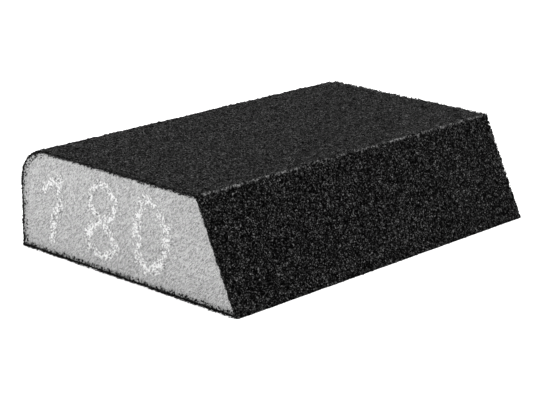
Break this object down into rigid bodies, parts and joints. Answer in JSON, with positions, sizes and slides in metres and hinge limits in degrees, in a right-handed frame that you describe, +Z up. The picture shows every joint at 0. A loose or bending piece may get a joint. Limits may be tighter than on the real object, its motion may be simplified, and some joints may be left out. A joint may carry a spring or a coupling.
{
  "type": "sanding block",
  "caption": "Flexible foam sanding block with one slanted side, one rounded edge and abrasive grain on its long faces, for sanding flats, edges and corners by hand.",
  "frame": {"origin": "middle of the base face, at the height of the surface the block stands on", "axes": "+X along the block, away from the end that carries the grade marking; +Y across it, away from the slanted side, towards the back with the rounded upper edge; +Z up"},
  "size_m": [0.1, 0.069, 0.024],
  "materials": {
    "foam": "matte",
    "resin": "satin",
    "top_grain": "matte",
    "bevel_grain": "matte",
    "bottom_grain": "matte",
    "back_grain": "matte",
    "marking_ink": "matte"
  },
  "bodies": {
    "root": {"foam_core": "foam", "top_make_coat": "resin", "bevel_make_coat": "resin", "bottom_make_coat": "resin", "back_make_coat": "resin", "top_grain_layer": "top_grain", "bevel_grain_layer": "bevel_grain", "bottom_grain_layer": "bottom_grain", "back_grain_layer": "back_grain", "grade_digit_one": "marking_ink", "grade_digit_eight": "marking_ink", "grade_digit_zero": "marking_ink"}
  },
  "joints": []
}
